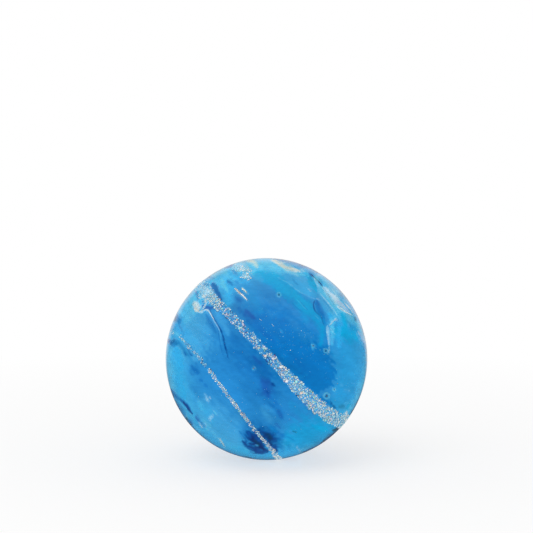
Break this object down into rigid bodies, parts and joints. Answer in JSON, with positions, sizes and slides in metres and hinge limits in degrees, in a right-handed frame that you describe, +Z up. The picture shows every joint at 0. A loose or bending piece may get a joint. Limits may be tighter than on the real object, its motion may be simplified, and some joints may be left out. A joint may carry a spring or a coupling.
{
  "type": "glass marble",
  "caption": "Clear deep-blue glass marble with crushed white glass bands rolled into its surface and a cut-off spot near its crown",
  "frame": {"origin": "centre of the ball", "axes": "+Z up, -Y the face that both white bands cross, +X to the right of that face, toward the cut-off spot"},
  "size_m": [0.025, 0.025, 0.025],
  "materials": {
    "blue_glass": "fire-polished, clear right through",
    "white_frit": "crushed white glass, opaque, satin with bright facets"
  },
  "bodies": {
    "root": {"marble": "blue_glass"}
  },
  "joints": []
}
